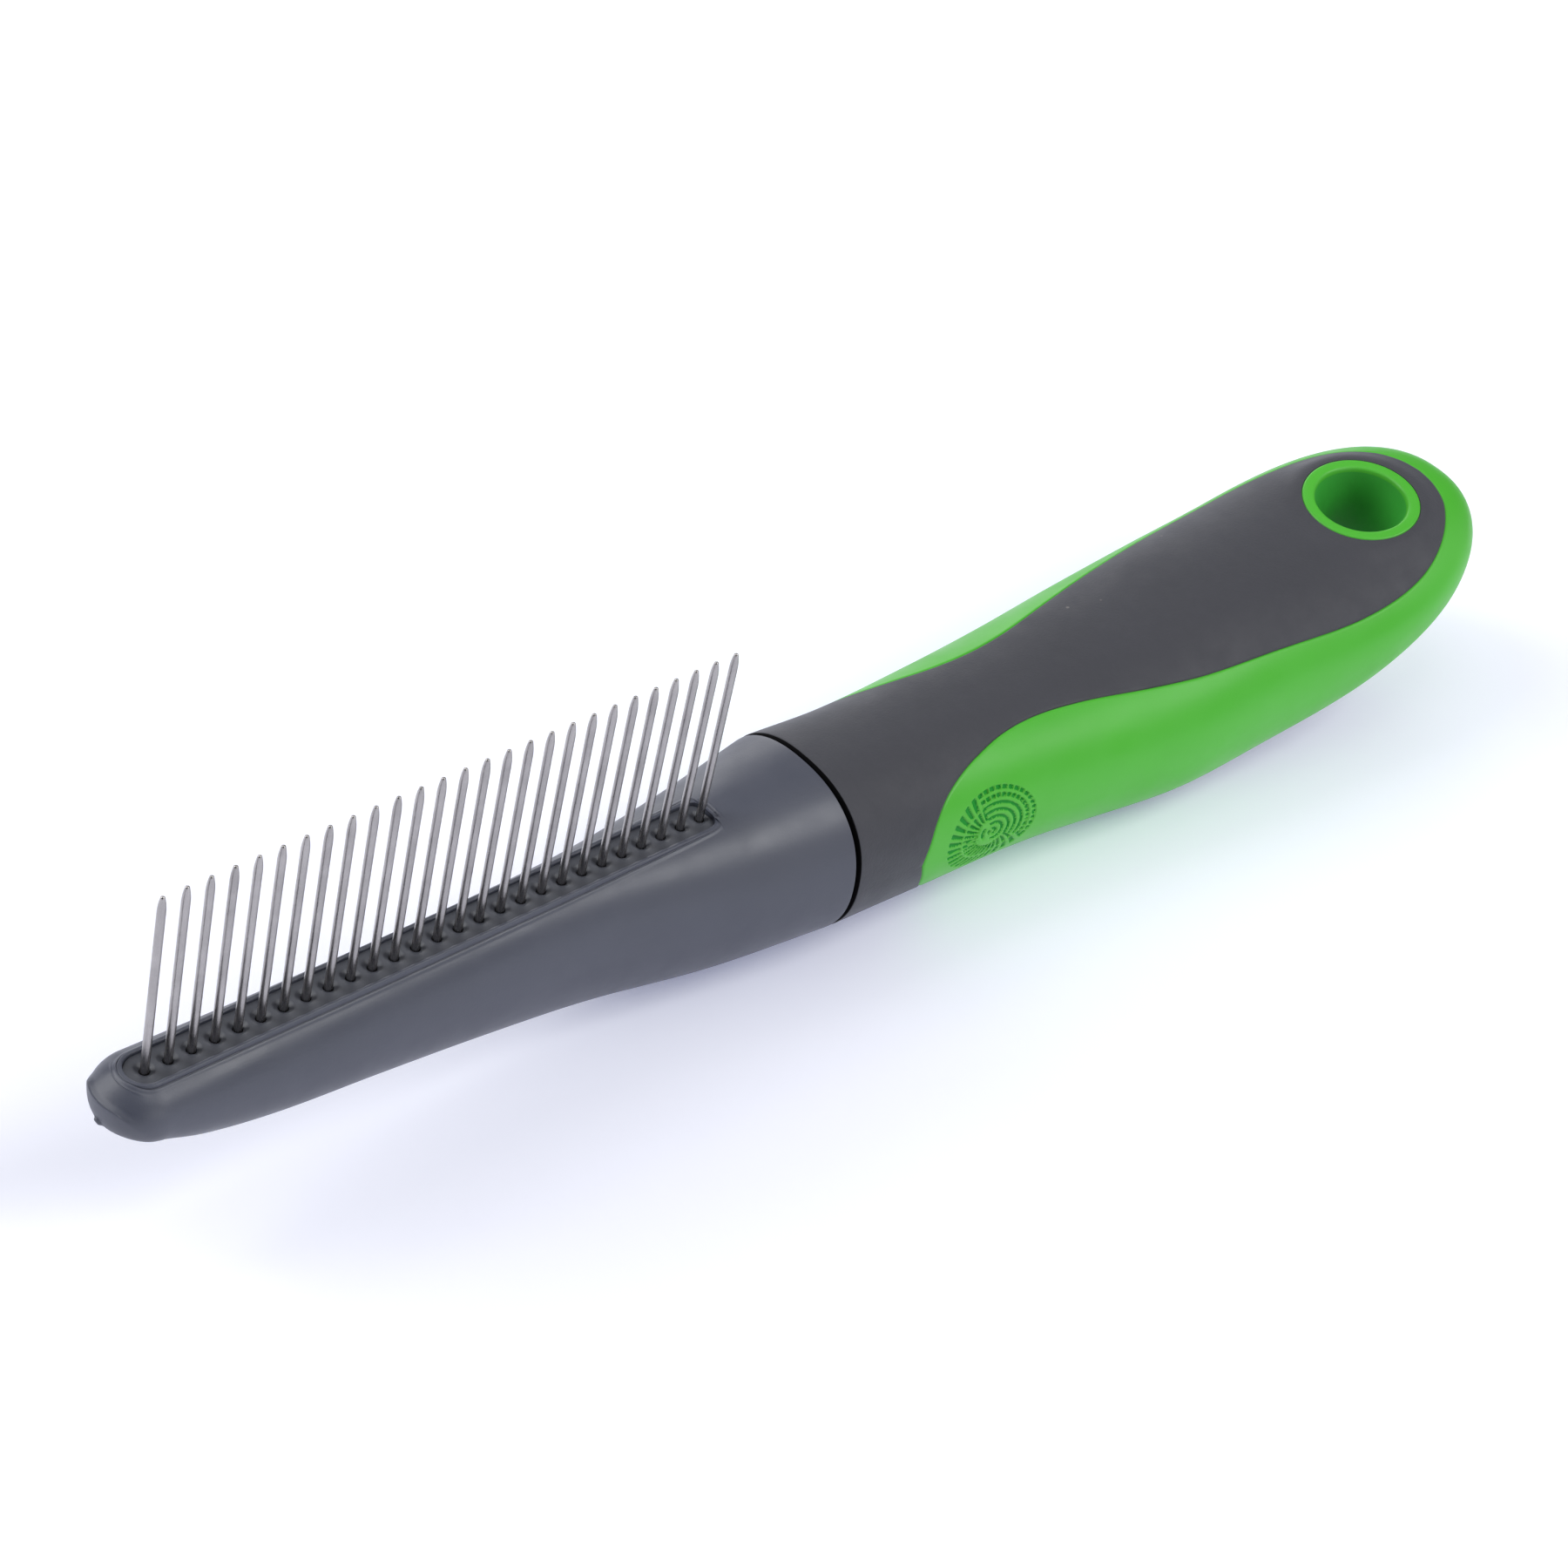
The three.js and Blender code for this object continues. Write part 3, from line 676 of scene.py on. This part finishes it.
def make_head():
    curve = slit_side()
    tree = point_tree(np.column_stack([curve, np.zeros(len(curve))]))

    def opening(points):
        return distances(tree, np.column_stack([points, np.zeros(len(points))]))

    x0 = SEAM_X - SEAM_HALF_GAP
    xs = np.concatenate(
        [
            x0 - HEAD_ROLL * HEAD_ROLL_STOPS,
            np.linspace(x0 - 1, SLIT_END + 1.2, 18),
            np.linspace(SLIT_END + 1.1, SLIT_START, 70),
            np.linspace(SLIT_START - 0.5, 0, 110),
        ]
    )
    left = []
    for x in xs:
        section = side_section(float(x), opening)
        back = max(0.0, 1 - (x0 - x) / HEAD_ROLL)
        drop = HEAD_ROLL_DROP * (1 - math.sqrt(1 - back * back))
        if drop:
            centre = between(HEAD_STATIONS, x)[2]
            section = centre_scaled(section, 1 - drop / SEAM_HALF_HEIGHT, centre)
        left.append(np.column_stack([np.full(len(section), x), section]))
    tail = spigot_rows(left[0][:, 1:])
    half = tail + left
    other = [row * [1, -1, 1] for row in half[::-1]]
    grid = np.array(half + nose_rows(left[-1][:, 1:]) + other)
    faces = grid_faces(grid.shape[0], grid.shape[1])
    head = new_mesh("head_shell_form", grid.reshape(-1, 3), faces, HEAD_PLASTIC, 42)
    # The head's faces in the seam get the near-black painted shade.
    paint_seam_shade(head, SEAM_HALF_GAP + 0.01, -1)
    finish_piece(head, BODY, "head_plastic", "head_shell")


def paint_seam_shade(obj, reach, lean):
    """Gives the faces that line the seam a near-black material, painted shade that darkens the gap: those
    within a reach of its middle whose normals point towards the nose by at least a lean."""
    obj.data.materials.append(SEAM_PAINTED_SHADE)
    for face in obj.data.polygons:
        x = (face.center.x - FIRST_PIN.x) / MM
        if abs(x - SEAM_X) < reach and -face.normal.x >= lean:
            face.material_index = 1


# ---- the pin bed ----
def rail_reach(angle, pin):
    """How far the rail's top reaches from a pin's axis in each direction, in that pin's share of it."""
    c, s = np.cos(angle), np.sin(angle)
    to_end = PITCH / 2 / np.maximum(np.abs(c), TINY)
    to_side = RAIL_HALF_WIDTH / np.maximum(np.abs(s), TINY)
    reach = np.minimum(to_end, to_side)
    if pin == 0:
        reach = np.where(c < 0, RAIL_HALF_WIDTH, reach)
    if pin == len(PIN_NAMES) - 1:
        for k in np.flatnonzero(c > TINY):
            reach[k] = end_reach(c[k], s[k])
    return reach


def end_reach(c, s):
    """How far the rail reaches from the last pin's axis in a direction, up to its rounded end."""
    low, high = 0.5, 4.0
    for _ in range(HALVINGS):
        mid = (low + high) / 2
        x = ROW_END + mid * c
        room = float(slit_half_width(x)) - CHANNEL_HALF_WIDTH + RAIL_HALF_WIDTH
        inside = abs(mid * s) < room and x < SLIT_END - RAIL_END_GAP
        low, high = (mid, high) if inside else (low, mid)
    return low


def close_below(obj, depths):
    """Adds side faces under the open rim of a sheet, in bands down to each depth, and an underside."""
    bm = bmesh.new()
    bm.from_mesh(obj.data)
    for depth in depths:
        rim = [e for e in bm.edges if e.is_boundary]
        made = bmesh.ops.extrude_edge_only(bm, edges=rim)["geom"]
        for v in (g for g in made if isinstance(g, bmesh.types.BMVert)):
            v.co.z = FIRST_PIN.z - depth * MM
    bmesh.ops.holes_fill(bm, edges=[e for e in bm.edges if e.is_boundary], sides=0)
    bmesh.ops.recalc_face_normals(bm, faces=bm.faces)
    bm.to_mesh(obj.data)
    bm.free()


def make_rail():
    angle = np.arange(RAIL_SIDES) / RAIL_SIDES * 2 * math.pi
    corner = math.atan2(RAIL_HALF_WIDTH, PITCH / 2)
    for target in (corner, math.pi - corner, math.pi + corner, 2 * math.pi - corner):
        angle[np.argmin(np.abs(angle - target))] = target
    points, faces = [], []
    for pin in range(len(PIN_NAMES)):
        reach = rail_reach(angle, pin)
        rows = [(np.minimum(r, reach), z) for r, z in DISH]
        brim = rows[-1][0]
        rows += [(brim + (reach - brim) * t, 0) for t in (0.4, 0.75, 1)]
        first = len(points) * RAIL_SIDES
        for r, z in rows:
            ring = [pin * PITCH + r * np.cos(angle), r * np.sin(angle), np.full(RAIL_SIDES, float(z))]
            points.append(np.stack(ring, -1))
        faces.append(grid_faces(len(rows), RAIL_SIDES, wrap=True, first=first))
    points, faces = np.concatenate(points), np.concatenate(faces)
    rail = new_mesh("pin_rail_form", points, faces, BED_PLASTIC, weld=4e-6)
    close_below(rail, (RAIL_EDGE, RAIL_DEPTH))
    shade(rail, 38)
    finish_piece(rail, BODY, "bed_plastic", "pin_rail")


def make_pins():
    """Each pin is round wire with a flat head below the bed and a tip that tapers to a round end."""
    tip = [(PIN_RADIUS, PIN_LENGTH - PIN_TAPER)]
    for t in np.linspace(0, 1, 14)[1:]:
        radius = PIN_RADIUS * (1 - PIN_NARROWING * t**PIN_NARROWING_POWER)
        tip.append((radius, PIN_LENGTH - PIN_TAPER + (PIN_TAPER - PIN_END) * t))
    end_radius, end_height = tip[-1]
    for turn in (25, 50, 72, 90):
        a = math.radians(turn)
        tip.append((end_radius * math.cos(a), end_height + (PIN_LENGTH - end_height) * math.sin(a)))
    profile = [(0, PIN_HEAD_LOW), (PIN_HEAD_RADIUS, PIN_HEAD_LOW)]
    profile += [(PIN_HEAD_RADIUS, PIN_HEAD_HIGH), (PIN_RADIUS, PIN_HEAD_HIGH)]
    profile += [(PIN_RADIUS, z) for z in (0, 6.5, 13)] + tip
    points, faces = turned(profile, PIN_SIDES)
    for index, name in enumerate(PIN_NAMES):
        pin = new_mesh(name + "_form", points + [index * PITCH, 0, 0], faces, PIN_STEEL, 40)
        finish_piece(pin, name, "pin_steel", name)


# ---- the handle ----
def handle_size(x):
    half_width, half_height, centre = between(HANDLE_STATIONS, x)
    t = np.clip((np.asarray(x) - (TAIL_X - TAIL_LENGTH)) / TAIL_LENGTH, 0, 1)
    width = half_width * (1 - t**TAIL_WIDTH_FALL) ** (1 / TAIL_WIDTH_ROUND)
    height = half_height * (1 - t**TAIL_HEIGHT_FALL) ** TAIL_HEIGHT_ROUND
    return width, height, centre


def tilt_axes(tilt):
    """The axis of a hole or the normal of a rim that leans towards the nose by a tilt."""
    return np.array([-math.sin(tilt), 0, math.cos(tilt)])


def low_rim(p):
    """How far below a point, along the hang hole's axis, the plane of the ring's lower face is."""
    normal = tilt_axes(RING_LOW_TILT)
    return (p - [RING_LOW_X, 0, RING_LOW_Z]) @ normal / (normal @ tilt_axes(HOLE_TILT))


def handle_point(x, angle):
    """Points of the handle's outside at x and an angle from the top, in radians; drawn up or down to the
    flat rims of the hang hole's ring near it."""
    width, height, centre = handle_size(x)
    power = section_power(x, np.cos(angle))
    y, z = width * bulge(np.sin(angle), power), centre + height * bulge(np.cos(angle), power)
    p = np.stack([x, y, z], -1)
    axis = tilt_axes(HOLE_TILT)
    local = p - [HOLE_X, 0, HOLE_Z]
    along = local @ axis
    radial = np.linalg.norm(local - along[..., None] * axis, axis=-1)
    lift = np.where(np.cos(angle) > 0, RING_TOP - RING_PROUD - along, RING_PROUD - low_rim(p))
    share = np.exp(-((np.maximum(radial - RING_RADIUS - RIM_REACH, 0) / RIM_SPREAD) ** 2))
    p = p + axis * (lift * share)[..., None]
    p[..., 2] = np.maximum(p[..., 2], BELLY_Z)
    return p


def handle_normal(x, angle):
    """Outward unit normals of the same, from slopes over a short step."""
    step, turn = 0.02, 0.003
    along = handle_point(np.minimum(x + step, TAIL_X), angle) - handle_point(x - step, angle)
    across = handle_point(x, angle + turn) - handle_point(x, angle - turn)
    n = np.cross(along, across)
    size = np.linalg.norm(n, axis=-1, keepdims=True)
    return np.where(size > TINY, n / np.maximum(size, TINY), [1.0, 0, 0])


def grip_angle(x):
    return np.radians(np.clip(between(GRIP_EDGE, x)[0], 0, 90))


def edge_fall(points, edge, width, depth):
    """How far the surface falls towards its edge in a quarter round."""
    away = distances(edge, points.reshape(-1, 3)).reshape(points.shape[:-1])
    t = np.clip(1 - away / width, 0, 1)
    return depth * (1 - np.sqrt(1 - t * t))


def edge_curve():
    x = handle_rows(10 * HANDLE_ROWS)
    half = []
    for side in (1, -1):
        for base in (0, math.pi):
            half.append(handle_point(x, base + side * grip_angle(x)))
    return np.concatenate(half)


def handle_rows(count):
    t = np.linspace(0, math.pi, count)
    return GRIP_START + (GRIP_END - GRIP_START) * (1 - np.cos(t)) / 2


def tilted(points):
    """From a turned shape's own axes to the hang hole's."""
    c, s = math.cos(HOLE_TILT), math.sin(HOLE_TILT)
    x, y, z = points.T
    return np.stack([x * c - z * s, y, x * s + z * c], -1) + [HOLE_X, 0, HOLE_Z]


def hole_circle(radius, height):
    """A circle about the hang hole's axis."""
    angle = np.linspace(0, 2 * math.pi, RING_SIDES, endpoint=False)
    return tilted(np.stack([radius * np.cos(angle), radius * np.sin(angle), 0 * angle + height], -1))


def hole_cutter(radius):
    profile = [(0, -HOLE_REACH), (radius, -HOLE_REACH), (radius, HOLE_REACH), (0, HOLE_REACH)]
    points, faces = turned(profile, RING_SIDES)
    return new_mesh("cutter", tilted(points), faces, GREEN_PLASTIC)


def handle_sheet(x, angle, edge, width, drop):
    """A sheet of the handle's outside whose edges are rounded where it meets its neighbour."""
    x = np.broadcast_to(x[:, None], angle.shape)
    grid = handle_point(x, angle)
    return grid, handle_normal(x, angle), edge_fall(grid, edge, width, drop)


def crowded(columns, power):
    """Places from -1 to 1 that crowd towards both ends."""
    u = np.linspace(-1, 1, columns)
    return np.sign(u) * (1 - (1 - np.abs(u)) ** power)


def make_grip():
    """The soft grip: a collar all round behind the seam, then a strip over the top and one below."""
    edge = point_tree(edge_curve())
    x0 = SEAM_X + SEAM_HALF_GAP
    start = x0 + GRIP_ROLL * GRIP_ROLL_STOPS
    collar = np.concatenate([start, np.linspace(x0 + 0.9, GRIP_START, 14)[:-1]])
    x = np.concatenate([collar, handle_rows(HANDLE_ROWS)])
    back = np.clip(1 - (x - x0) / GRIP_ROLL, 0, 1)
    back = GRIP_ROLL_DROP * (1 - np.sqrt(1 - back**2))
    sheets = []
    for base in (0, math.pi):
        angle = base + grip_angle(x)[:, None] * crowded(73, 2.2)[None]
        grid, normal, fall = handle_sheet(x, angle, edge, GRIP_EDGE_WIDTH, GRIP_EDGE_DROP)
        sheets.append((grid, normal, fall + back[:, None], 0 * fall))
    points, faces, _ = slab(sheets, SLEEVE_THICKNESS)
    grip = new_mesh("grip_sleeve_form", points, faces, GRIP_RUBBER, weld=None)
    cut(grip, hole_cutter(RING_RADIUS + RING_CLEARANCE))
    shade(grip, 35)
    # The grip's faces in the seam get the near-black painted shade.
    paint_seam_shade(grip, 1, 0.8)
    finish_piece(grip, BODY, "soft_grip", "grip_sleeve")


def band(v, half, soft):
    """1 where the fractional part of v is within half of its middle, falling off over soft."""
    return smooth(half + soft, half - soft, np.abs(v % 1 - 0.5))


def thumb_relief(p):
    """Depth, from 0 to 1, of the thumb grip moulded in each side panel: nested arcs round the upper rear,
    the outer two broken into dots, and rows of short strokes that point inward on the other sides."""
    e, f = (p[..., 0] - THUMB_X) / THUMB_LENGTH, (p[..., 2] - THUMB_Z) / THUMB_HEIGHT
    reach, turn = np.hypot(e, f), np.arctan2(f, e) / (2 * math.pi)
    rings = reach * THUMB_RINGS
    arcs = band(rings, 0.2, 0.1)
    dashes = band(rings, 0.27, 0.08) * band(turn * THUMB_DASHES, 0.34, 0.06)
    arcs = np.where(rings > THUMB_RINGS - 2, dashes, arcs)
    row = rings / THUMB_ROW
    lines = turn * THUMB_STROKES + 0.5 * np.floor(row) + THUMB_LEAN * (row % 1)
    strokes = band(row, 0.42, 0.05) * band(lines, 0.25, 0.09)
    strokes = np.where(row < 1, arcs * band(turn * 3, 0.3, 0.05), strokes)
    upper_rear = smooth(-0.1, -0.08, turn) * smooth(0.32, 0.3, turn)
    return (upper_rear * arcs + (1 - upper_rear) * strokes) * smooth(1.0, 0.99, reach)


def make_core():
    """The hard green body: both side panels with the tail cap, and the closed core below the grip."""
    edge = point_tree(edge_curve())
    tail = TAIL_X - (TAIL_X - GRIP_END) * np.linspace(1, 0, 30)[1:] ** 1.8
    dense = np.linspace(THUMB_X - THUMB_LENGTH, THUMB_X + THUMB_LENGTH, 112)
    rows = handle_rows(HANDLE_ROWS)
    rows = np.sort(np.concatenate([rows[(rows < dense[0]) | (rows > dense[-1])], dense]))
    x = np.concatenate([rows, tail])
    start = np.concatenate([grip_angle(rows), 0 * tail])
    share = (crowded(221, 1.35) + 1) / 2
    sheets = []
    for side in (1, -1):
        angle = side * (start[:, None] + (math.pi - 2 * start[:, None]) * share[None])
        grid, normal, fall = handle_sheet(x, angle, edge, CORE_EDGE_WIDTH, CORE_EDGE_DROP)
        relief = thumb_relief(grid)
        sheet = [grid, normal, fall + THUMB_DEPTH * relief, relief]
        sheets.append([part[:, ::side] for part in sheet])
    points, faces, share = slab(sheets, CORE_THICKNESS)
    core = new_mesh("handle_core_form", points, faces, GREEN_PLASTIC, weld=None)
    # Faces that lie mostly in the thumb grip's recesses get the darker green of painted shade.
    core.data.materials.append(GREEN_RECESS_SHADE)
    for index, amount in enumerate(share):
        if amount > 0.5:
            core.data.polygons[index].material_index = 1
    shade(core, 35)
    finish_piece(core, BODY, "green_plastic", "handle_core")


def make_ring():
    """The eyelet of the hang hole: on top a flat rim with a rolled inner edge, and a sloping lower face."""
    r = RING_RADIUS
    # Radius and depth below the upper rim, then radius and height above the lower rim.
    top = [(r, 0.5), (r, 0.3), (r - 0.05, 0.12), (r - 0.16, 0.02), (r - 0.32, 0)]
    top += [(6.05, 0), (5.88, 0.04), (5.75, 0.14), (5.66, 0.32), (5.6, 0.6), (5.5, 1.1)]
    bore = [(5.3, 2.2), (5.1, 3.6), (4.96, 5.6), (4.9, 8.3)]
    low = [(4.9, 0.4), (4.95, 0.15), (5.1, 0), (r - 0.3, 0), (r - 0.08, 0.1), (r, 0.35)]
    axis = tilt_axes(HOLE_TILT)
    rows = [hole_circle(radius, RING_TOP - below) for radius, below in top + bore]
    for radius, above in low:
        circle = hole_circle(radius, 0)
        rows.append(circle + axis * (above - low_rim(circle))[:, None])
    rows.append(rows[0])
    faces = grid_faces(len(rows), RING_SIDES, wrap=True)
    ring = new_mesh("hang_ring", np.concatenate(rows), faces, GREEN_PLASTIC, 45)
    # The bore's faces get the darker green of painted shade.
    ring.data.materials.append(GREEN_BORE_SHADE)
    for face in ring.data.polygons:
        local = (np.array(face.center) - np.array(FIRST_PIN)) / MM - [HOLE_X, 0, HOLE_Z]
        along = local @ axis
        if np.linalg.norm(local - along * axis) < BORE_SHADE_RADIUS and along < BORE_SHADE_TOP:
            face.material_index = 1
    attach(ring, BODY)


def finish_piece(obj, body, slot, *nodes):
    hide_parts(*nodes)
    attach(obj, body)


make_stage()
make_camera()
make_head()
make_rail()
make_pins()
make_grip()
make_core()
make_ring()
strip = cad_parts["backing_strip"]
strip.data.materials.clear()
strip.data.materials.append(STRIP_STEEL)
